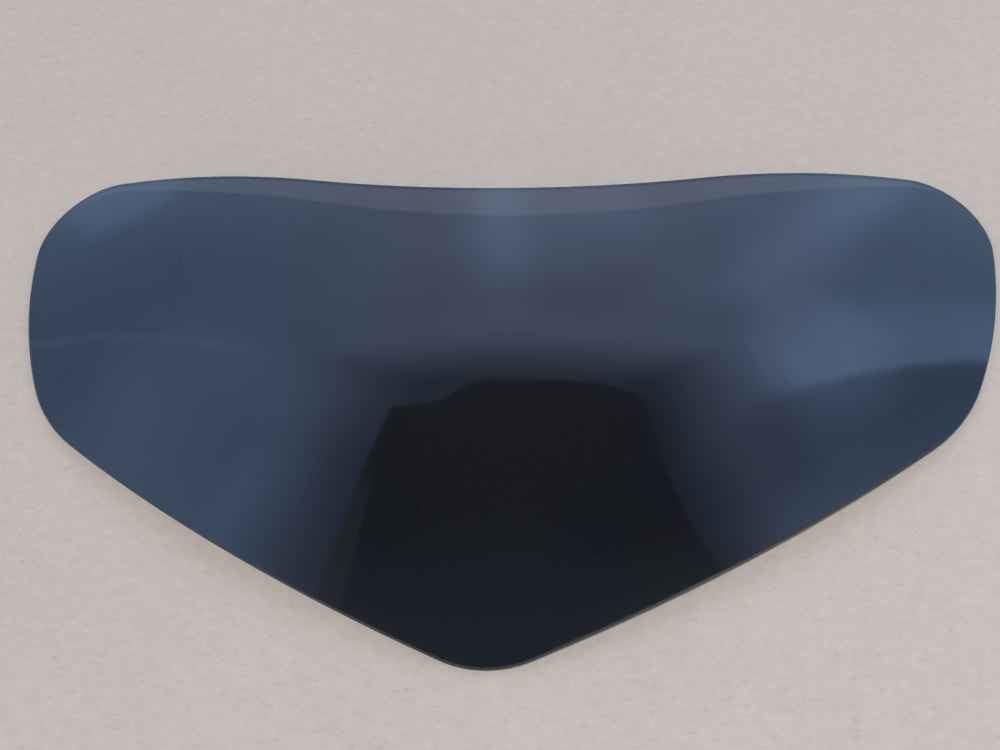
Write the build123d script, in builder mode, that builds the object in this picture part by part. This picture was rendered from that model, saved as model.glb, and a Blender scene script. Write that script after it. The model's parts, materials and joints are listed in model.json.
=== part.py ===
from build123d import *
from math import cos, radians, sin
import os

# Windshield screen: one domed sheet of dark smoke acrylic without holes, held by four reclosable
# hook-and-loop pads on its hollow side. It lies hollow side down, on both wings and the tip.
# Millimetres, +Z up, the wings along X and the tip towards -Y.

# Sheet
SHEET_THICKNESS = 3.0
DOME_RADIUS = 560.0  # outside of the dome, the same in every direction
RIM_ROUND = 0.7

# Outline of the +X half, drawn on the plane that touches the dome at its crown.
# The rim is cut towards the dome's centre, so it is square to the sheet all the way round.
TOP_MIDDLE_Y = 98.5
DIP_END_X, DIP_END_Y = 81.0, 110.0
UPPER_CORNER_X, UPPER_CORNER_Y = 217.0, 137.0
LOWER_CORNER_X, LOWER_CORNER_Y = 189.0, -1.5
TIP_Y = -116.0
SIDE_BULGE = 10.0
LOWER_EDGE_BULGE = 8.0
UPPER_CORNER_RADIUS = 33.0
LOWER_CORNER_RADIUS = 79.0
TIP_RADIUS = 41.0

# Pads, one stack at each of four places
PAD_LENGTH, PAD_WIDTH, PAD_CORNER = 40.0, 25.0, 3.0
FOAM_THICKNESS = 1.0  # at the pad's middle, less towards its ends, where the dome comes nearer
HOOK_THICKNESS = 1.6
PAD_CLEARANCE = 0.3  # between the hook half and the loop half
LOOP_THICKNESS = 1.6
TACK_THICKNESS = 0.5

# Pad places, measured in from the outline's straight-line corners
WING_PAD_FROM_CORNER_X, WING_PAD_FROM_CORNER_Y = 65.0, 77.0
WING_PAD_TURN = 90.0  # degrees from +X to the pad's length
LOWER_PAD_FROM_TIP, LOWER_PAD_FROM_EDGE = 78.0, 34.0

# Construction
CUTTER_BELOW, CUTTER_ABOVE = 0.86, 1.04  # ends of the rim's cutter, as shares of the dome's radius
FOAM_BLANK = 4.0  # how far the foam's blank stands past its seat before the dome trims it
SAME = 0.01  # points nearer than this in Y are on one corner
RIM_SAMPLES = 720
LEAN_HALVINGS = 40
STEEPEST_LEAN = 45.0

inner_radius = DOME_RADIUS - SHEET_THICKNESS
PIECES = []


def outline_on(plane, share=1.0):
    """The screen's outline on the plane, scaled by share about the plane's origin."""
    with BuildSketch(plane) as outline:
        with BuildLine():
            dip = TangentArc((0, TOP_MIDDLE_Y), (DIP_END_X, DIP_END_Y), tangent=(1, 0))
            TangentArc((DIP_END_X, DIP_END_Y), (UPPER_CORNER_X, UPPER_CORNER_Y), tangent=dip % 1)
            SagittaArc((UPPER_CORNER_X, UPPER_CORNER_Y), (LOWER_CORNER_X, LOWER_CORNER_Y), SIDE_BULGE)
            SagittaArc((LOWER_CORNER_X, LOWER_CORNER_Y), (0, TIP_Y), LOWER_EDGE_BULGE)
            mirror(about=Plane.YZ)
        make_face()
        for corner_y, radius in (
            (UPPER_CORNER_Y, UPPER_CORNER_RADIUS),
            (LOWER_CORNER_Y, LOWER_CORNER_RADIUS),
            (TIP_Y, TIP_RADIUS),
        ):
            corners = outline.vertices().filter_by_position(Axis.Y, corner_y - SAME, corner_y + SAME)
            fillet(corners, radius)
        scale(by=share)
    return outline


def rim_roundings():
    """Centres of the rim's rounding circles, in the sheet's own frame with the crown at its origin."""
    flat_rim = offset(outline_on(Plane.XY).sketch, -RIM_ROUND).edges()
    wire = Wire(flat_rim)
    points = [wire.position_at(i / RIM_SAMPLES) for i in range(RIM_SAMPLES)]
    centres = []
    for radius in (DOME_RADIUS - RIM_ROUND, inner_radius + RIM_ROUND):
        for p in points:
            ray = Vector(p.X, p.Y, DOME_RADIUS).normalized()
            centres.append(ray * radius - Vector(0, 0, DOME_RADIUS))
    return centres


def lean(point, angle):
    """The point after the sheet has leant forward by the angle about X, which lowers the tip."""
    a = radians(angle)
    return Vector(point.X, point.Y * cos(a) - point.Z * sin(a), point.Y * sin(a) + point.Z * cos(a))


def resting_plane():
    """The crown's plane as the sheet lies: it leans until the tip is as low as the wings."""
    centres = rim_roundings()
    tip = [c for c in centres if c.Y < LOWER_CORNER_Y and abs(c.X) < TIP_RADIUS]
    wings = [c for c in centres if abs(c.X) > TIP_RADIUS]
    least, most = 0.0, STEEPEST_LEAN
    for _ in range(LEAN_HALVINGS):
        middle = (least + most) / 2
        tip_height = min(lean(c, middle).Z for c in tip)
        wing_height = min(lean(c, middle).Z for c in wings)
        least, most = (middle, most) if tip_height > wing_height else (least, middle)
    placed = [lean(c, most) for c in centres]
    bottom = min(c.Z for c in placed) - RIM_ROUND
    middle_y = (min(c.Y for c in placed) + max(c.Y for c in placed)) / 2
    return Plane(
        origin=(0, -middle_y, -bottom), x_dir=(1, 0, 0), z_dir=lean(Vector(0, 0, 1), most)
    )


crown = resting_plane()


def pad_seats():
    """Name of each pad and its plane: on the sheet's hollow side, its normal away from the sheet."""
    edge = Vector(LOWER_CORNER_X, LOWER_CORNER_Y - TIP_Y).normalized()
    inward = Vector(-edge.Y, edge.X)
    lower = Vector(0, TIP_Y) + edge * LOWER_PAD_FROM_TIP + inward * LOWER_PAD_FROM_EDGE
    wing = Vector(UPPER_CORNER_X - WING_PAD_FROM_CORNER_X, UPPER_CORNER_Y - WING_PAD_FROM_CORNER_Y)
    wing_run = Vector(cos(radians(WING_PAD_TURN)), sin(radians(WING_PAD_TURN)))
    seats = {}
    for row, place, run in (("wing", wing, wing_run), ("lower", lower, edge)):
        for side, sign in (("left", -1), ("right", 1)):
            ray = Vector(sign * place.X, place.Y, DOME_RADIUS).normalized()
            seat = Plane(
                origin=ray * inner_radius - Vector(0, 0, DOME_RADIUS),
                x_dir=Vector(sign * run.X, run.Y).cross(ray).cross(-ray),
                z_dir=-ray,
            )
            seats[f"{row}_{side}"] = Plane(crown.location * seat.location)
    return seats


def finish(piece, name):
    """Names the piece and writes it to its own file."""
    piece.part.label = name
    export_step(piece.part, f"parts/{name}.step")
    PIECES.append(piece.part)


def make_screen():
    """The domed sheet, its rim cut square and lightly rounded on both faces."""
    with BuildPart() as screen:
        with Locations(crown.offset(-DOME_RADIUS)):
            Sphere(DOME_RADIUS, rotation=(90, 0, 0))
            Sphere(inner_radius, rotation=(90, 0, 0), mode=Mode.SUBTRACT)
        for share in (CUTTER_BELOW, CUTTER_ABOVE):
            add(outline_on(crown.offset((share - 1) * DOME_RADIUS), share).sketch)
        loft(ruled=True, mode=Mode.INTERSECT)
        rim = screen.edges().filter_by(lambda e: e.length > 2 * SHEET_THICKNESS)
        fillet(rim, RIM_ROUND)
    finish(screen, "screen")


def make_slab(seat, start, thickness, name):
    """One flat layer of a pad, from start to start + thickness below its seat on the sheet."""
    with BuildPart() as slab:
        with BuildSketch(seat.offset(start)):
            RectangleRounded(PAD_LENGTH, PAD_WIDTH, PAD_CORNER)
        extrude(amount=thickness)
    finish(slab, name)


def make_foam(seat, name):
    """The foam tape under the sheet: flat below, and domed above to lie against the sheet."""
    with BuildPart() as foam:
        with BuildSketch(seat.offset(FOAM_THICKNESS)):
            RectangleRounded(PAD_LENGTH, PAD_WIDTH, PAD_CORNER)
        extrude(amount=-FOAM_THICKNESS - FOAM_BLANK)
        with Locations(crown.offset(-DOME_RADIUS)):
            Sphere(inner_radius, rotation=(90, 0, 0), mode=Mode.INTERSECT)
    finish(foam, name)


def make_pad(seat, name):
    """A pad: foam tape and hook tape on the sheet, loop tape and tack tape on the lamp's side."""
    hook_start = FOAM_THICKNESS
    loop_start = hook_start + HOOK_THICKNESS + PAD_CLEARANCE
    make_foam(seat, f"foam_tape_{name}")
    make_slab(seat, hook_start, HOOK_THICKNESS, f"hook_tape_{name}")
    make_slab(seat, loop_start, LOOP_THICKNESS, f"loop_tape_{name}")
    make_slab(seat, loop_start + LOOP_THICKNESS, TACK_THICKNESS, f"tack_tape_{name}")


os.makedirs("parts", exist_ok=True)
make_screen()
for pad_name, pad_seat in pad_seats().items():
    make_pad(pad_seat, pad_name)

for piece in PIECES:
    box = piece.bounding_box()
    print(f"{piece.label}: {piece.volume:.0f} mm3, lowest {box.min.Z:.2f} mm")
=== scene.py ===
import json
from math import cos, pi, radians, sin

import bpy
import numpy as np
from mathutils import Matrix, Vector
from mathutils.bvhtree import BVHTree


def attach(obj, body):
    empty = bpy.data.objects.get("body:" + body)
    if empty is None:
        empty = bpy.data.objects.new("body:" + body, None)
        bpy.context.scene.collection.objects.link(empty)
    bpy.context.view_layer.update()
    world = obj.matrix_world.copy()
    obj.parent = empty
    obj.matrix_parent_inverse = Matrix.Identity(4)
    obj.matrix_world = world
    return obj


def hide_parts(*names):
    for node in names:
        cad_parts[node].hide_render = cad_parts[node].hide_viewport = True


# A domed smoke acrylic windshield screen lying hollow side down on a pale board, with four
# reclosable pads on its hollow side. Metres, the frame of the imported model.

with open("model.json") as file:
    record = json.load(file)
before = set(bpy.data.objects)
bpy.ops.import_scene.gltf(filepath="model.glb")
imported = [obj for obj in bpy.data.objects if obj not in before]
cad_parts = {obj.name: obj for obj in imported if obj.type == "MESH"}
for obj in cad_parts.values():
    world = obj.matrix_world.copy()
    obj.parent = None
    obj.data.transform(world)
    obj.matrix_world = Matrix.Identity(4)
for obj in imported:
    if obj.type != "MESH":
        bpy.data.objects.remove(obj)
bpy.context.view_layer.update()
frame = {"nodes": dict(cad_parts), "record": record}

MM = 0.001
SEED = 20

# Camera
LENS_MM, SENSOR_MM = 71.95, 36.0
CAMERA_AIM = (0.0016, -0.0005, 0.0250)
CAMERA_DISTANCE = 0.7615
CAMERA_ELEVATION, CAMERA_AZIMUTH, CAMERA_ROLL = radians(49.70), radians(5.91), radians(-4.47)
CLIP_NEAR, CLIP_FAR = 0.01, 50.0

# Key light: small and distant, on the camera's side
KEY_ELEVATION, KEY_AZIMUTH, KEY_SIZE = radians(60.3), radians(-3.0), radians(2.2)
KEY_STRENGTH = 4.4
KEY_COLOUR = (0.93, 1.12, 1.42)

# Soft light from all round: a pale blue-grey sky with broad lighter and darker parts
SKY_MIDDLE_COLOUR, SKY_SIDE_COLOUR = (0.95, 1.25, 2.03), (0.80, 1.25, 2.12)
DARK_COLOUR, DARK_NEAR_COLOUR = (0.175, 0.195, 0.25), (0.25, 0.34, 0.51)
FRINGE_COLOUR = (0.30, 0.36, 0.44)
NEAR_SIDE_COLOUR = (1.25, 1.30, 1.45)
BACKDROP_COLOUR = (0.50, 0.47, 0.455)
UNDER_COLOUR = (0.40, 0.42, 0.46)

# Round parts of the sky, in degrees: azimuth and elevation of the middle, how far from it the
# change is full, how far it reaches, and the change in the sky's level
SKY_LOBES = (
    (-48, 24, 5, 26, -0.18), (-37, 21, 1, 7, 0.25), (-62, 52, 4, 16, 0.10),
    (0, 48, 2, 12, 0.26), (44, 50, 1, 9, 0.32), (48, 66, 3, 12, -0.28),
    (-26, 50, 4, 15, -0.14), (60, 40, 3, 14, -0.12), (6, 55, 2, 8, -0.18),
    (-54, 29, 3, 11, -0.08), (60, 64, 2, 8, -0.10), (40, 42, 1, 7, 0.14),
    (-72, 63, 1, 8, 0.14), (-52, 53, 3, 12, -0.10),
)

# The dark shape overhead, on a plane one unit up: its far end, how far it reaches towards the
# camera's side, and each side's half width there, its growth and its flare
DARK_FAR_END, DARK_REACH = 0.38, 0.75
DARK_RIGHT, DARK_LEFT = (0.190, 0.20, 2.07), (-0.248, -0.33, -0.06)
# How much its far right corner is rounded off
DARK_CORNER = 0.014
# The less dark fringe on its left: where the line that bounds it lies, and its slope
FRINGE_OFFSET, FRINGE_SLOPE = 0.325, 0.22
# Directions lower than this are taken as if they were this high
HORIZON = 0.03

# Straight marks on the same plane: the slope and start of a line across it, or the slope of one
# that goes straight up the sky
BAND_LINE, LEFT_LINE = (0.647, 0.127), (-0.565, 0.243)
RIGHT_STREAK_SLOPE, MIDDLE_STREAK_SLOPE = 0.59, -0.10

FLOOR_RINGS = (0.3, 0.8, 2.0, 8.0)
FLOOR_SPOKES = 96
FLOOR_COLOUR = (0.279, 0.206, 0.146)

# The dome's centre is found in a few steps, and a face whose normal misses it by more than this
# is left out of the next one
CENTRE_STEPS, CENTRE_MISS = 6, 0.02
ACRYLIC_IOR = 1.49

# Rounding and sides of a slab, in steps
EDGE_STEPS, SIDE_STEPS = 3, 6

# Pads
PAD_CORNER = 3.0 * MM
TAPE_EDGE, FOAM_BULGE = 0.12 * MM, 0.10 * MM
BOND_GAP = 0.02 * MM

HOOK_BASE, HOOK_BASE_EDGE = 0.35 * MM, 0.08 * MM
HOOK_PITCH_ALONG, HOOK_PITCH_ACROSS = 1.25 * MM, 1.0 * MM
HOOK_WIDE = 0.30 * MM
HOOK_MARGIN, HOOK_CORNER = 1.0 * MM, 1.5 * MM
HOOK_REACH, HOOK_SETBACK = 0.72 * MM, 0.25 * MM
HOOK_SUNK, HOOK_CLEAR = 0.04 * MM, 0.09 * MM
HOOK_LEAN, HOOK_HEIGHT = 0.03, (0.96, 1.0)
# A hook's middle line, as shares of its reach and its height, and its thickness along it
HOOK_LINE = ((0.0, 0.0), (0.04, 0.30), (0.10, 0.58), (0.22, 0.82), (0.44, 0.96), (0.66, 0.92),
             (0.80, 0.74))
HOOK_THICKNESS = np.array([0.34, 0.26, 0.22, 0.20, 0.18, 0.15, 0.10]) * MM

PILE_BASE, PILE_EDGE = 0.95 * MM, 0.15 * MM
TUFT_WAVES, TUFT_FINENESS, TUFT_HEIGHT = 12, (1200, 4200), 0.035 * MM
LOOP_COUNT, LOOP_POINTS = 1100, 8
LOOP_THICK, LOOP_SUNK = 0.10 * MM, 0.10 * MM
LOOP_MARGIN, LOOP_CORNER = 0.6 * MM, 1.2 * MM
LOOP_LEAN = 0.35
LOOP_SPAN, LOOP_SPAN_LEAST, LOOP_OVERHANG = (0.35, 0.75), 0.2 * MM, 0.3 * MM
LOOP_HEIGHT = (0.55, 0.93)

TACK_EDGE, TACK_BULGE = 0.07 * MM, 0.03 * MM
DENT_DEPTH = 0.02 * MM
# Crossed waves of dents: radians per metre along the pad and across it, and how strong they are
DENT_WAVES = ((420, 510, 1.0), (900, 760, 0.6))


# Shader helpers

class Graph:
    """Adds nodes to one shader tree. An input is a number, a colour or another node's socket."""

    def __init__(self, tree):
        self.tree = tree
        tree.nodes.clear()

    def node(self, kind, inputs=(), **settings):
        made = self.tree.nodes.new(kind)
        for name, value in settings.items():
            setattr(made, name, value)
        for name, value in dict(inputs).items():
            self.put(made.inputs[name], value)
        return made

    def put(self, socket, value):
        if isinstance(value, bpy.types.NodeSocket):
            self.tree.links.new(value, socket)
        elif hasattr(value, "__len__") and len(value) == 3 and socket.type == "RGBA":
            socket.default_value = (*value, 1.0)
        else:
            socket.default_value = value

    def math(self, operation, *values):
        made = self.node("ShaderNodeMath", operation=operation)
        for socket, value in zip(made.inputs, values):
            self.put(socket, value)
        return made.outputs[0]

    def product(self, first, *rest):
        for value in rest:
            first = self.math("MULTIPLY", first, value)
        return first

    def total(self, first, *rest):
        for value in rest:
            first = self.math("ADD", first, value)
        return first

    def vector(self, operation, *values):
        made = self.node("ShaderNodeVectorMath", operation=operation)
        for socket, value in zip(made.inputs, values):
            self.put(socket, value)
        return made.outputs["Value" if operation in ("DOT_PRODUCT", "LENGTH") else "Vector"]

    def ramp(self, value, low, high, at_low=0.0, at_high=1.0):
        """Turns smoothly from at_low to at_high as value goes from low to high."""
        made = self.node("ShaderNodeMapRange", interpolation_type="SMOOTHSTEP")
        for name, part in (("Value", value), ("From Min", low), ("From Max", high),
                           ("To Min", at_low), ("To Max", at_high)):
            self.put(made.inputs[name], part)
        return made.outputs["Result"]

    def mix(self, share, first, second, blend="MIX"):
        made = self.node("ShaderNodeMix", data_type="RGBA", blend_type=blend)
        for index, value in ((0, share), (6, first), (7, second)):
            self.put(made.inputs[index], value)
        return made.outputs[2]

    def scaled(self, colour, level):
        """A colour made lighter or darker by a number."""
        grey = self.node("ShaderNodeCombineColor", {"Red": level, "Green": level, "Blue": level})
        return self.mix(1.0, colour, grey.outputs[0], "MULTIPLY")

    def noise(self, where, scale, detail=2.0, roughness=0.5, stretch=None):
        if stretch is not None:
            where = self.vector("MULTIPLY", where, stretch)
        made = self.node("ShaderNodeTexNoise", {"Vector": where, "Scale": scale,
                                                "Detail": detail, "Roughness": roughness})
        return made.outputs["Fac"]

    def cells(self, where, scale, feature="F1", randomness=1.0):
        """How far a point is from its cell's middle, or from the edge between cells."""
        made = self.node("ShaderNodeTexVoronoi", {"Vector": where, "Scale": scale,
                                                  "Randomness": randomness}, feature=feature)
        return made.outputs["Distance"]

    def bump(self, height, distance, strength=1.0, onto=None):
        made = self.node("ShaderNodeBump", {"Height": height, "Distance": distance,
                                            "Strength": strength})
        if onto is not None:
            self.put(made.inputs["Normal"], onto)
        return made.outputs["Normal"]


def new_material(name):
    material = bpy.data.materials.new(name)
    material.use_nodes = True
    graph = Graph(material.node_tree)
    shader = graph.node("ShaderNodeBsdfPrincipled")
    out = graph.node("ShaderNodeOutputMaterial")
    graph.put(out.inputs["Surface"], shader.outputs[0])
    where = graph.node("ShaderNodeTexCoord").outputs["Object"]
    return material, graph, shader, where


def dome_centre(mesh):
    """The point that the normals of the sheet's faces all pass through."""
    middles = np.array([p.center for p in mesh.polygons])
    normals = np.array([p.normal for p in mesh.polygons])
    areas = np.array([p.area for p in mesh.polygons])
    weights = areas
    for _ in range(CENTRE_STEPS):
        across = np.eye(3) - normals[:, :, None] * normals[:, None, :]
        a = (weights[:, None, None] * across).sum(0)
        b = (weights[:, None] * (across @ middles[:, :, None])[:, :, 0]).sum(0)
        centre = np.linalg.solve(a, b)
        miss = np.linalg.norm((across @ (centre - middles)[:, :, None])[:, :, 0], axis=1)
        weights = areas * (miss < CENTRE_MISS)
    return Vector(centre)


# Materials

def smoke_acrylic(centre):
    """Clear through but dark, mirror smooth, with a satin cut edge and a little dust."""
    material, g, shader, where = new_material("smoke_acrylic")
    radial = g.vector("NORMALIZE", g.vector("SUBTRACT", where, tuple(centre)))
    normal = g.node("ShaderNodeNewGeometry").outputs["Normal"]
    facing = g.math("ABSOLUTE", g.vector("DOT_PRODUCT", radial, normal))
    rim = g.ramp(facing, 0.72, 0.98, 1.0, 0.0)

    cloudy = g.noise(where, 9.0, 3.0)
    tint = g.mix(cloudy, (0.080, 0.093, 0.096), (0.088, 0.101, 0.104))
    g.put(shader.inputs["Base Color"], tint)

    specks = g.cells(where, 260.0)
    chosen = g.ramp(g.noise(where, 130.0, 0.0), 0.70, 0.74)
    dust = g.math("MULTIPLY", g.ramp(specks, 0.05, 0.10, 1.0, 0.0), chosen)
    hair = g.noise(where, 40.0, 2.0, stretch=(1.0, 14.0, 1.0))
    scratch = g.math("MULTIPLY", g.ramp(g.math("ABSOLUTE", g.math("SUBTRACT", hair, 0.5)),
                                        0.0, 0.006, 1.0, 0.0),
                     g.ramp(g.noise(where, 22.0, 1.0), 0.58, 0.66))
    worn = g.math("ADD", g.math("MULTIPLY", dust, 0.16), g.math("MULTIPLY", scratch, 0.06))
    face = g.math("ADD", g.math("MULTIPLY", cloudy, 0.012), worn)
    edge = g.math("MULTIPLY", rim, g.ramp(g.noise(where, 300.0, 3.0), 0.3, 0.7, 0.30, 0.42))
    g.put(shader.inputs["Roughness"], g.math("ADD", face, edge))

    waves = g.bump(g.noise(where, 15.0, 1.0), 0.010 * MM)
    grain = g.bump(g.noise(where, 1400.0, 2.0, stretch=(1.0, 1.0, 0.25)), 0.02 * MM, onto=waves)
    shaped = g.mix(rim, waves, grain)
    g.put(shader.inputs["Normal"], shaped)
    shader.inputs["Transmission Weight"].default_value = 1.0
    shader.inputs["IOR"].default_value = ACRYLIC_IOR
    return material


def foam():
    """Charcoal closed-cell foam, pores showing on its sides, with painted shade in the pores."""
    material, g, shader, where = new_material("black_foam")
    pores = g.cells(where, 2600.0)
    fine = g.noise(where, 900.0, 4.0)
    # The pores' hollows are painted darker: painted shade in the pores
    shade = g.mix(g.ramp(pores, 0.1, 0.6), (0.045, 0.045, 0.047), (0.125, 0.125, 0.128))
    g.put(shader.inputs["Base Color"], g.mix(g.math("MULTIPLY", fine, 0.5), shade,
                                             (0.150, 0.150, 0.154)))
    g.put(shader.inputs["Roughness"], g.ramp(fine, 0.2, 0.8, 0.72, 0.92))
    g.put(shader.inputs["Normal"], g.bump(pores, 0.12 * MM, 0.8))
    shader.inputs["Specular IOR Level"].default_value = 0.35
    return material


def hook_nylon():
    """Moulded black nylon, slightly shiny, with flow marks."""
    material, g, shader, where = new_material("nylon_hook")
    flow = g.noise(where, 500.0, 3.0, stretch=(1.0, 1.0, 3.0))
    g.put(shader.inputs["Base Color"], g.mix(flow, (0.012, 0.012, 0.014), (0.034, 0.034, 0.038)))
    g.put(shader.inputs["Roughness"], g.ramp(flow, 0.25, 0.75, 0.34, 0.55))
    g.put(shader.inputs["Normal"], g.bump(g.noise(where, 2600.0, 2.0), 0.03 * MM))
    return material


def loop_nylon():
    """Brushed black nylon pile, soft and dull with a faint sheen."""
    material, g, shader, where = new_material("nylon_loop")
    tufts = g.noise(where, 700.0, 4.0, 0.65)
    strands = g.noise(where, 3200.0, 3.0, 0.6)
    shade = g.mix(g.ramp(tufts, 0.3, 0.7), (0.014, 0.014, 0.016), (0.050, 0.050, 0.055))
    g.put(shader.inputs["Base Color"], g.mix(g.math("MULTIPLY", strands, 0.4), shade,
                                             (0.075, 0.075, 0.080)))
    g.put(shader.inputs["Roughness"], g.ramp(strands, 0.2, 0.8, 0.75, 0.95))
    g.put(shader.inputs["Normal"], g.bump(strands, 0.10 * MM, 0.9))
    shader.inputs["Sheen Weight"].default_value = 0.35
    shader.inputs["Sheen Roughness"].default_value = 0.5
    return material


def tape_film():
    """Pale tacky adhesive on a film, mottled where it isn't pressed down."""
    material, g, shader, where = new_material("adhesive_tape")
    blot = g.noise(where, 160.0, 3.0)
    cross = g.cells(where, 900.0, "DISTANCE_TO_EDGE", 0.35)
    shade = g.mix(g.ramp(blot, 0.35, 0.7), (0.50, 0.50, 0.47), (0.60, 0.60, 0.565))
    g.put(shader.inputs["Base Color"], shade)
    g.put(shader.inputs["Roughness"], g.ramp(blot, 0.3, 0.7, 0.22, 0.42))
    g.put(shader.inputs["Normal"], g.bump(g.ramp(cross, 0.0, 0.12), 0.03 * MM, 0.7))
    return material


def board():
    """A plain pale board with a faint fibrous mottling and fine flecks, seen from above only."""
    material, g, shader, where = new_material("pale_board")
    broad = g.noise(where, 14.0, 3.0)
    mottle = g.noise(where, 160.0, 4.0, 0.6)
    fibres = g.noise(where, 900.0, 3.0, 0.6, stretch=(1.0, 0.35, 1.0))
    flecks = g.noise(where, 430.0, 2.0, 0.6, stretch=(0.5, 1.0, 1.0))
    specks = g.noise(where, 1000.0, 1.0)
    slope = g.vector("DOT_PRODUCT", where, (0.7, -0.7, 0.0))
    level = g.math("ADD", g.ramp(mottle, 0.25, 0.75, 0.965, 1.03),
                   g.math("MULTIPLY", g.math("SUBTRACT", fibres, 0.5), 0.10))
    level = g.total(g.math("MULTIPLY", level, g.ramp(broad, 0.3, 0.7, 0.985, 1.015)),
                    g.ramp(flecks, 0.33, 0.42, -0.07, 0.0), g.ramp(flecks, 0.60, 0.70, 0.0, 0.05),
                    g.ramp(specks, 0.24, 0.32, -0.16, 0.0), g.ramp(specks, 0.70, 0.78, 0.0, 0.10))
    # Painted light: the board is painted a little lighter towards +x and -y, a painted fall of
    # light across it
    level = g.math("MULTIPLY", level, g.ramp(slope, -0.32, 0.32, 0.945, 1.055))
    tone = g.scaled(FLOOR_COLOUR, level)
    tone = g.mix(1.0, tone, g.mix(g.ramp(g.noise(where, 210.0, 2.0), 0.3, 0.7),
                                  (1.012, 1.008, 0.965), (0.988, 0.992, 1.035)), "MULTIPLY")
    g.put(shader.inputs["Base Color"], tone)
    g.put(shader.inputs["Roughness"], g.ramp(fibres, 0.2, 0.8, 0.82, 0.95))
    g.put(shader.inputs["Normal"], g.bump(g.math("ADD", mottle, fibres), 0.10 * MM, 0.5))
    shader.inputs["Specular IOR Level"].default_value = 0.2
    through = g.node("ShaderNodeBsdfTransparent")
    behind = g.node("ShaderNodeNewGeometry").outputs["Backfacing"]
    one_sided = g.node("ShaderNodeMixShader", {0: behind, 1: shader.outputs[0],
                                               2: through.outputs[0]})
    out = next(n for n in g.tree.nodes if n.type == "OUTPUT_MATERIAL")
    g.put(out.inputs["Surface"], one_sided.outputs[0])
    return material


# Meshes

def mesh_object(name, points, faces, material, smooth=True):
    mesh = bpy.data.meshes.new(name)
    mesh.from_pydata([tuple(p) for p in points], [], [tuple(f) for f in faces])
    mesh.polygons.foreach_set("use_smooth", [smooth] * len(mesh.polygons))
    mesh.update()
    made = bpy.data.objects.new(name, mesh)
    bpy.context.scene.collection.objects.link(made)
    made.data.materials.append(material)
    return made


class Pad:
    """One pad's own axes: along it, across it, and out from the sheet to its sticky face."""

    def __init__(self, where):
        mount = next(m for m in frame["record"]["mounts"] if m["name"] == "pad_" + where)
        self.face = np.array(mount["pos_m"])
        self.out = np.array(mount["axis"]) / np.linalg.norm(mount["axis"])
        points = self.points_of("tack_tape_" + where)
        flat = points - self.face
        flat = flat - np.outer(flat @ self.out, self.out)
        self.along = np.linalg.svd(flat - flat.mean(0), full_matrices=False)[2][0]
        self.along -= (self.along @ self.out) * self.out
        self.along /= np.linalg.norm(self.along)
        self.across = np.cross(self.out, self.along)

    def points_of(self, node):
        return np.array([v.co for v in frame["nodes"][node].data.vertices])

    def span(self, node):
        """Lowest and highest place of a node along each of the pad's axes."""
        axes = np.array([self.along, self.across, self.out])
        local = (self.points_of(node) - self.face) @ axes.T
        return local.min(0), local.max(0)

    def place(self, local):
        return self.face + np.asarray(local) @ np.array([self.along, self.across, self.out])


def rounded_outline(half_length, half_width, corner, count):
    """count points round a rectangle with round corners, evenly spaced."""
    x, y = half_length - corner, half_width - corner
    # Each side and the arc after it: where the side starts, which way it runs, how long it is,
    # and the middle of its arc
    sides = (((half_length, -y), (0, 1), 2 * y, (x, y)),
             ((x, half_width), (-1, 0), 2 * x, (-x, y)),
             ((-half_length, y), (0, -1), 2 * y, (-x, -y)),
             ((-x, -half_width), (1, 0), 2 * x, (x, -y)))
    arc = corner * pi / 2
    around = 4 * (x + y + arc)
    points = []
    for k in range(count):
        along = around * k / count
        for quarter, (start, way, straight, middle) in enumerate(sides):
            if along <= straight:
                points.append((start[0] + way[0] * along, start[1] + way[1] * along))
                break
            along -= straight
            if along <= arc:
                angle = quarter * pi / 2 + along / corner
                points.append((middle[0] + corner * cos(angle), middle[1] + corner * sin(angle)))
                break
            along -= arc
    return np.array(points)


def slab(name, pad, low, high, corner, edge, material, bulge=0.0, rings=14, count=160,
         top=None, bottom=None):
    """A closed slab between two levels, its edges rounded by edge, its sides pushed out by bulge.
    top bends the face towards the sheet and bottom the other one: each takes local points and
    gives how far to move them."""
    half, middle = (high[:2] - low[:2]) / 2, (high[:2] + low[:2]) / 2
    outline = rounded_outline(half[0] - bulge, half[1] - bulge, corner, count)
    ahead = np.roll(outline, -1, 0) - np.roll(outline, 1, 0)
    normal = np.stack([ahead[:, 1], -ahead[:, 0]], 1)
    normal /= np.linalg.norm(normal, axis=1)[:, None]
    inner = outline - normal * edge
    side = high[2] - low[2] - 2 * edge

    layers = [(inner * (k / rings), low[2]) for k in range(1, rings + 1)]
    turns = [k / EDGE_STEPS * pi / 2 for k in range(1, EDGE_STEPS + 1)]
    layers += [(inner + normal * edge * sin(a), low[2] + edge * (1 - cos(a))) for a in turns]
    for k in range(1, SIDE_STEPS):
        share = k / SIDE_STEPS
        layers.append((outline + normal * bulge * sin(pi * share), low[2] + edge + side * share))
    layers += [(inner + normal * edge * sin(a), high[2] - edge * (1 - cos(a)))
               for a in reversed(turns)]
    layers += [(inner * (k / rings), high[2]) for k in range(rings, 0, -1)]

    local = np.concatenate([[[0.0, 0.0, low[2]]]]
                           + [np.column_stack([ring, np.full(count, z)]) for ring, z in layers]
                           + [[[0.0, 0.0, high[2]]]])
    local[:, :2] += middle
    share = 1.0 - (local[:, 2] - low[2]) / (high[2] - low[2])
    moved = local.copy()
    if top is not None:
        moved[:, 2] += share * top(local)
    if bottom is not None:
        moved[:, 2] += (1 - share) * bottom(local)

    faces, last = [], len(local) - 1
    end = 1 + (len(layers) - 1) * count
    for j in range(count):
        n = (j + 1) % count
        faces += [(0, 1 + n, 1 + j), (last, end + j, end + n)]
        for k in range(len(layers) - 1):
            a, b = 1 + k * count, 1 + (k + 1) * count
            faces.append((a + j, a + n, b + n, b + j))
    return mesh_object(name, pad.place(moved), faces, material)


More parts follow.
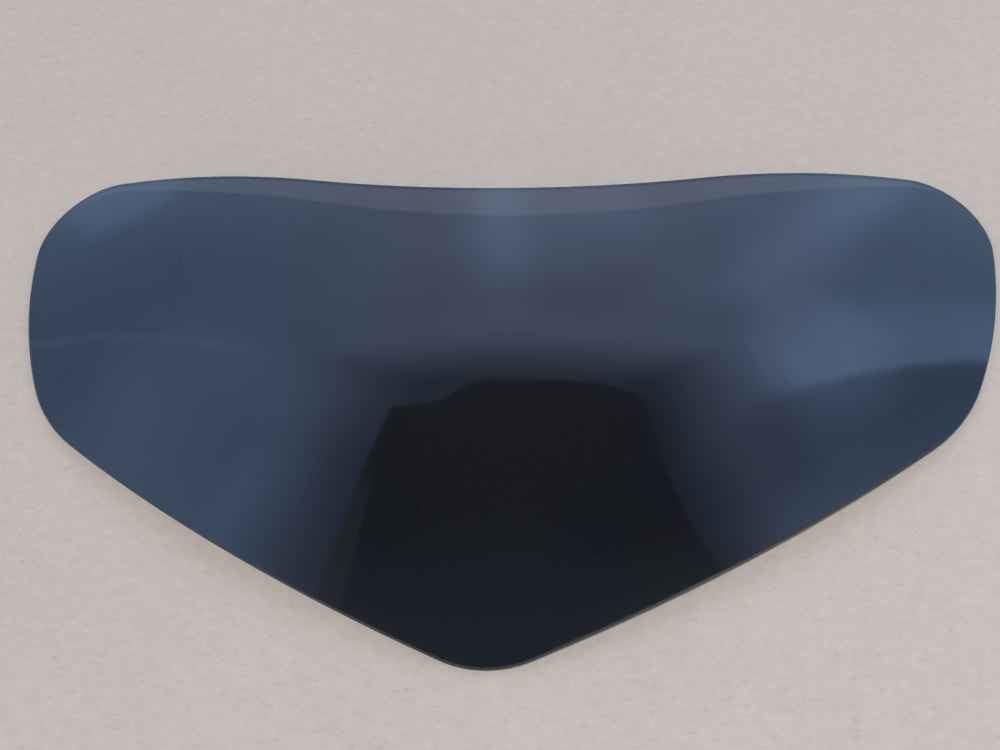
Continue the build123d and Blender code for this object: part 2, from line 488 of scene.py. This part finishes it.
def tubes(lines, widths):
    """Points and faces of square-section tubes along lines of points, closed at both ends."""
    points, faces = [], []
    for line, (wide, thick, side) in zip(lines, widths):
        line = np.asarray(line)
        start = len(points)
        ahead = np.gradient(line, axis=0)
        ahead /= np.linalg.norm(ahead, axis=1)[:, None]
        side = side / np.linalg.norm(side)
        up = np.cross(ahead, side)
        up /= np.linalg.norm(up, axis=1)[:, None]
        taper = np.broadcast_to(np.asarray(thick), (len(line),))
        for p, u, t in zip(line, up, taper):
            for a, b in ((-1, -1), (1, -1), (1, 1), (-1, 1)):
                points.append(p + side * wide / 2 * a + u * t / 2 * b)
        for k in range(len(line) - 1):
            for j in range(4):
                a, b = start + 4 * k, start + 4 * (k + 1)
                faces.append((a + j, a + (j + 1) % 4, b + (j + 1) % 4, b + j))
        end = start + 4 * (len(line) - 1)
        faces.append((start + 3, start + 2, start + 1, start))
        faces.append((end, end + 1, end + 2, end + 3))
    return points, faces


def joined(name, parts, material):
    """One object from several lists of points and faces."""
    points, faces = [], []
    for some_points, some_faces in parts:
        start = len(points)
        points.extend(some_points)
        faces.extend([tuple(i + start for i in f) for f in some_faces])
    return mesh_object(name, points, faces, material)


def mesh_parts(made):
    """The points and faces of an object, which is removed."""
    points = [np.array(v.co) for v in made.data.vertices]
    faces = [tuple(p.vertices) for p in made.data.polygons]
    mesh = made.data
    bpy.data.objects.remove(made)
    bpy.data.meshes.remove(mesh)
    return points, faces


def make_foam(pad, where, sheet, material):
    node = "foam_tape_" + where
    low, high = pad.span(node)

    def follow_sheet(local):
        """How far the sheet's inner face is from the flat top level."""
        moved = []
        for p in local:
            start = Vector(pad.place((p[0], p[1], high[2])))
            hit = sheet.ray_cast(start, Vector(-pad.out))
            reach = hit[3] - BOND_GAP if hit[0] is not None else high[2] - low[2]
            moved.append(high[2] - reach - low[2])
        return np.array(moved)

    return slab(node, pad, low, high, PAD_CORNER, TAPE_EDGE, material, bulge=FOAM_BULGE,
                top=follow_sheet)


def make_hook(pad, where, material, rng):
    node = "hook_tape_" + where
    low, high = pad.span(node)
    base_high = high.copy()
    base_high[2] = low[2] + HOOK_BASE
    base = slab(node + "_base", pad, low, base_high, PAD_CORNER, HOOK_BASE_EDGE, material, rings=3)
    parts = [mesh_parts(base)]
    tall = high[2] - base_high[2] + HOOK_SUNK - HOOK_CLEAR
    half = (high[:2] - low[:2]) / 2 - HOOK_MARGIN
    middle = (high[:2] + low[:2]) / 2
    rows, columns = int(2 * half[1] / HOOK_PITCH_ACROSS), int(2 * half[0] / HOOK_PITCH_ALONG)
    lines, widths = [], []
    for r in range(rows + 1):
        way = 1 if r % 2 else -1
        for c in range(columns + 1):
            x = (c - columns / 2) * HOOK_PITCH_ALONG
            y = (r - rows / 2) * HOOK_PITCH_ACROSS
            if abs(x) > half[0] - HOOK_CORNER and abs(y) > half[1] - HOOK_CORNER:
                continue
            lean = rng.normal(0.0, HOOK_LEAN)
            height = tall * rng.uniform(*HOOK_HEIGHT)
            line = [(middle[0] + x + way * (a * HOOK_REACH - HOOK_SETBACK) + lean * b * MM,
                     middle[1] + y, base_high[2] - HOOK_SUNK + b * height) for a, b in HOOK_LINE]
            lines.append(pad.place(line))
            widths.append((HOOK_WIDE, HOOK_THICKNESS, pad.across))
    parts.append(tubes(lines, widths))
    return joined(node, parts, material)


def make_loop(pad, where, material, rng):
    node = "loop_tape_" + where
    low, high = pad.span(node)
    felt_low = low.copy()
    felt_low[2] = high[2] - PILE_BASE
    phases = rng.uniform(0, 2 * pi, TUFT_WAVES)
    waves = rng.uniform(*TUFT_FINENESS, (TUFT_WAVES, 2)) * rng.choice([-1, 1], (TUFT_WAVES, 2))

    def tufted(local):
        rise = sum(np.sin(local[:, 0] * w[0] + local[:, 1] * w[1] + p)
                   for w, p in zip(waves, phases))
        return -rise * TUFT_HEIGHT

    felt = slab(node + "_felt", pad, felt_low, high, PAD_CORNER, PILE_EDGE, material,
                rings=44, count=260, top=tufted)
    parts = [mesh_parts(felt)]
    half = (high[:2] - low[:2]) / 2 - LOOP_MARGIN
    middle = (high[:2] + low[:2]) / 2
    room = felt_low[2] - low[2]
    lines, widths = [], []
    for _ in range(LOOP_COUNT):
        x, y = rng.uniform(-1, 1, 2) * half
        if abs(x) > half[0] - LOOP_CORNER and abs(y) > half[1] - LOOP_CORNER:
            continue
        turn, tip = rng.uniform(0, pi), rng.normal(0.0, LOOP_LEAN)
        span = rng.uniform(*LOOP_SPAN) * MM
        height = rng.uniform(*LOOP_HEIGHT) * room
        from_edge = (half - np.abs((x, y))).min()
        span = max(LOOP_SPAN_LEAST, min(span, 2 * min(from_edge, span / 2) + LOOP_OVERHANG))
        line = []
        for k in range(LOOP_POINTS):
            angle = pi * k / (LOOP_POINTS - 1)
            run, rise = -cos(angle) * span / 2, sin(angle) * height
            lean = tip * rise
            line.append((middle[0] + x + run * cos(turn) - lean * sin(turn),
                         middle[1] + y + run * sin(turn) + lean * cos(turn),
                         felt_low[2] + LOOP_SUNK - rise))
        lines.append(pad.place(line))
        side = -sin(turn) * pad.along + cos(turn) * pad.across
        widths.append((LOOP_THICK, LOOP_THICK, side))
    parts.append(tubes(lines, widths))
    return joined(node, parts, material)


def make_tack(pad, where, material, rng):
    node = "tack_tape_" + where
    low, high = pad.span(node)
    phases = rng.uniform(0, 2 * pi, (len(DENT_WAVES), 2))

    def pressed(local):
        """Shallow dents where the tape isn't pressed on yet."""
        x, y = local[:, 0], local[:, 1]
        rise = sum(strength * np.sin(x * along + phase[0]) * np.sin(y * across + phase[1])
                   for (along, across, strength), phase in zip(DENT_WAVES, phases))
        return -DENT_DEPTH * (1.0 + rise / sum(strength for *_, strength in DENT_WAVES))

    return slab(node, pad, low, high, PAD_CORNER, TACK_EDGE, material, bulge=TACK_BULGE,
                rings=24, count=200, bottom=pressed)


# The object

screen = frame["nodes"]["screen"]
acrylic = smoke_acrylic(dome_centre(screen.data))
screen.data.materials.clear()
screen.data.materials.append(acrylic)

sheet_tree = BVHTree.FromPolygons([v.co for v in screen.data.vertices],
                                  [tuple(p.vertices) for p in screen.data.polygons])
foam_material, hook_material = foam(), hook_nylon()
loop_material, tape_material = loop_nylon(), tape_film()

for number, where in enumerate(("wing_left", "wing_right", "lower_left", "lower_right")):
    rng = np.random.default_rng(SEED + number)
    pad = Pad(where)
    still, moving = "screen_body", "loop_pad_" + where
    pieces = (
        ("foam_tape_", make_foam(pad, where, sheet_tree, foam_material), "black_foam", still),
        ("hook_tape_", make_hook(pad, where, hook_material, rng), "nylon_hook", still),
        ("loop_tape_", make_loop(pad, where, loop_material, rng), "nylon_loop", moving),
        ("tack_tape_", make_tack(pad, where, tape_material, rng), "adhesive_tape", moving),
    )
    for kind, piece, slot, body in pieces:
        piece.name = kind + where + "_fine"
        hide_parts(kind + where)
        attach(piece, body)


# The board

def make_board():
    """A round board with a fine middle."""
    points, faces = [(0.0, 0.0, 0.0)], []
    for radius in FLOOR_RINGS:
        turns = [2 * pi * k / FLOOR_SPOKES for k in range(FLOOR_SPOKES)]
        points += [(radius * cos(turn), radius * sin(turn), 0.0) for turn in turns]
    for k in range(FLOOR_SPOKES):
        n = (k + 1) % FLOOR_SPOKES
        faces.append((0, 1 + k, 1 + n))
        for r in range(len(FLOOR_RINGS) - 1):
            a, b = 1 + r * FLOOR_SPOKES, 1 + (r + 1) * FLOOR_SPOKES
            faces.append((a + k, b + k, b + n, a + n))
    return mesh_object("board", points, faces, board(), smooth=False)


floor = make_board()


# Light

def direction(azimuth, elevation):
    """Unit vector with azimuth from +Y towards +X."""
    return (cos(elevation) * sin(azimuth), cos(elevation) * cos(azimuth), sin(elevation))


def make_key():
    lamp = bpy.data.lights.new("key", "SUN")
    lamp.energy, lamp.angle, lamp.color = KEY_STRENGTH, KEY_SIZE, KEY_COLOUR
    made = bpy.data.objects.new("key", lamp)
    bpy.context.scene.collection.objects.link(made)
    towards = Vector(direction(pi - KEY_AZIMUTH, KEY_ELEVATION))
    made.rotation_mode = "QUATERNION"
    made.rotation_quaternion = towards.to_track_quat("Z", "Y")
    made.location = towards


class Sky:
    """The sky's own coordinates: the direction itself, and where it meets a plane one unit up."""

    def __init__(self, g):
        self.g = g
        self.where = g.node("ShaderNodeTexCoord").outputs["Generated"]
        self.parts = g.node("ShaderNodeSeparateXYZ", {"Vector": self.where}).outputs
        height = g.math("MAXIMUM", self.parts["Z"], HORIZON)
        self.side = g.math("DIVIDE", self.parts["X"], height)
        self.far = g.math("DIVIDE", self.parts["Y"], height)

    def lobe(self, azimuth, elevation, inner, outer, change):
        """A round part of the sky, lighter or darker by change at its middle."""
        middle = direction(radians(azimuth), radians(elevation))
        near = self.g.vector("DOT_PRODUCT", self.where, middle)
        return self.g.ramp(near, cos(radians(outer)), cos(radians(inner)), 0.0, change)

    def line(self, slope, start):
        """How far a point lies beyond a straight line across the plane."""
        across = self.g.math("MULTIPLY", self.side, slope)
        return self.g.math("SUBTRACT", self.g.math("SUBTRACT", self.far, across), start)

    def upright(self, slope):
        """How far a point lies from a line that goes straight up the sky."""
        away = self.g.math("MULTIPLY", self.far, slope)
        return self.g.math("ABSOLUTE", self.g.math("SUBTRACT", self.side, away))


def sky_level(g, sky):
    """How light the sky is: round parts, a band and a streak on the right, a streak in the middle
    and a faint line on the left."""
    level = g.ramp(sky.parts["Z"], 0.2, 0.8, 0.88, 1.05)
    lobes = [sky.lobe(*part) for part in SKY_LOBES]
    beyond = sky.line(*BAND_LINE)
    on_right = g.ramp(sky.side, 0.32, 0.62)
    band = g.product(g.ramp(beyond, 0.0, 0.03), g.ramp(beyond, 0.05, 0.34, 0.55, 0.0), on_right)
    below_band = g.product(g.ramp(beyond, -0.02, 0.01, -0.20, 0.0),
                           g.ramp(beyond, -0.42, -0.12), on_right)
    right_streak = g.product(g.ramp(sky.upright(RIGHT_STREAK_SLOPE), 0.0, 0.17, 0.36, 0.0),
                             g.ramp(sky.far, 0.60, 0.80))
    middle_streak = g.product(g.ramp(sky.upright(MIDDLE_STREAK_SLOPE), 0.0, 0.10, 0.34, 0.0),
                              g.ramp(sky.far, 0.56, 0.95))
    left_line = g.product(g.ramp(g.math("ABSOLUTE", sky.line(*LEFT_LINE)), 0.0, 0.03, 0.11, 0.0),
                          g.ramp(sky.side, -0.62, -0.45, 1.0, 0.0))
    level = g.total(level, *lobes, band, below_band, right_streak, middle_streak, left_line)
    cloud = g.noise(sky.where, 3.4, 3.0, 0.5, stretch=(1.0, 1.0, 1.6))
    return g.math("MULTIPLY", level, g.ramp(cloud, 0.25, 0.75, 0.93, 1.07))


def dark_shape(g, sky):
    """Something dark overhead, wider towards the camera's side: where it is, and the soft shade
    that it lays on the sky round it."""
    side, far = sky.side, sky.far
    nearer = g.math("MAXIMUM", g.math("SUBTRACT", DARK_FAR_END, far), 0.0)
    nearer = g.math("MINIMUM", nearer, DARK_REACH)

    def half(at_far_end, growth, flare):
        cube = g.math("MULTIPLY", g.math("POWER", nearer, 3.0), flare)
        return g.total(g.math("MULTIPLY", nearer, growth), cube, at_far_end)

    off_right = g.math("DIVIDE", side, half(*DARK_RIGHT))
    off_left = g.math("DIVIDE", side, half(*DARK_LEFT))
    off = g.math("MAXIMUM", off_right, off_left)
    rounding = g.math("POWER", g.math("MAXIMUM", off_right, 0.0), 8.0)
    far_edge = g.total(g.ramp(side, -0.19, -0.09, 0.343, 0.389),
                       g.ramp(side, 0.09, 0.20, 0.0, -0.012))
    far_edge = g.math("SUBTRACT", far_edge, g.math("MULTIPLY", rounding, DARK_CORNER))
    inside = g.product(g.ramp(off, 0.97, 1.03, 1.0, 0.0),
                       g.ramp(g.math("SUBTRACT", far_edge, far), -0.008, 0.008),
                       g.ramp(far, -0.75, -0.32))
    beside = g.ramp(off, 0.85, 2.00, g.ramp(side, -0.3, 0.3, 0.33, 0.22), 1.0)
    beyond = g.ramp(far, 0.37, 0.54, 0.28, 1.0)
    shade = g.math("MAXIMUM", g.math("MAXIMUM", beside, beyond),
                   g.ramp(far, -0.45, -0.25, 1.0, 0.0))
    return inside, shade


def make_sky():
    world = bpy.data.worlds.new("soft_light")
    bpy.context.scene.world = world
    world.use_nodes = True
    g = Graph(world.node_tree)
    sky = Sky(g)
    inside, shade = dark_shape(g, sky)
    level = g.math("MULTIPLY", sky_level(g, sky), shade)
    tone = g.mix(g.ramp(g.math("ABSOLUTE", sky.parts["X"]), 0.12, 0.60), SKY_MIDDLE_COLOUR,
                 SKY_SIDE_COLOUR)
    near_side = g.ramp(sky.parts["Y"], -0.35, 0.02, 1.0, 0.0)
    open_sky = g.mix(near_side, g.scaled(tone, level), NEAR_SIDE_COLOUR)

    strip = g.math("SUBTRACT", g.math("ADD", sky.side, FRINGE_OFFSET),
                   g.math("MULTIPLY", sky.far, FRINGE_SLOPE))
    fringe = g.product(g.ramp(strip, -0.006, 0.006, 1.0, 0.0),
                       g.ramp(sky.far, 0.14, 0.24, 1.0, 0.0))
    dark = g.mix(g.ramp(sky.far, -0.25, 0.16), DARK_NEAR_COLOUR, DARK_COLOUR)
    dark = g.mix(fringe, dark, FRINGE_COLOUR)

    # What the camera sees past the board's rim is as pale as the board, and the light that comes
    # from below the board is dim
    seen = g.node("ShaderNodeLightPath").outputs["Is Camera Ray"]
    under = g.ramp(sky.parts["Z"], -0.15, 0.0, 1.0, 0.0)
    colour = g.mix(under, g.mix(inside, open_sky, dark), UNDER_COLOUR)
    colour = g.mix(seen, colour, BACKDROP_COLOUR)
    light = g.node("ShaderNodeBackground", {"Color": colour, "Strength": 1.0})
    g.put(g.node("ShaderNodeOutputWorld").inputs["Surface"], light.outputs[0])


make_key()
make_sky()


# Camera

def make_camera():
    data = bpy.data.cameras.new("camera")
    data.lens, data.sensor_width, data.sensor_fit = LENS_MM, SENSOR_MM, "HORIZONTAL"
    data.clip_start, data.clip_end = CLIP_NEAR, CLIP_FAR
    made = bpy.data.objects.new("camera", data)
    bpy.context.scene.collection.objects.link(made)
    back = Vector(direction(pi - CAMERA_AZIMUTH, CAMERA_ELEVATION))
    level = Vector((cos(CAMERA_AZIMUTH), sin(CAMERA_AZIMUTH), 0.0))
    upright = back.cross(level)
    right = level * cos(CAMERA_ROLL) + upright * sin(CAMERA_ROLL)
    up = back.cross(right)
    place = Vector(CAMERA_AIM) + back * CAMERA_DISTANCE
    made.matrix_world = Matrix((
        (right.x, up.x, back.x, place.x),
        (right.y, up.y, back.y, place.y),
        (right.z, up.z, back.z, place.z),
        (0.0, 0.0, 0.0, 1.0)))
    bpy.context.scene.camera = made


make_camera()
bpy.context.scene.view_settings.view_transform = "Standard"
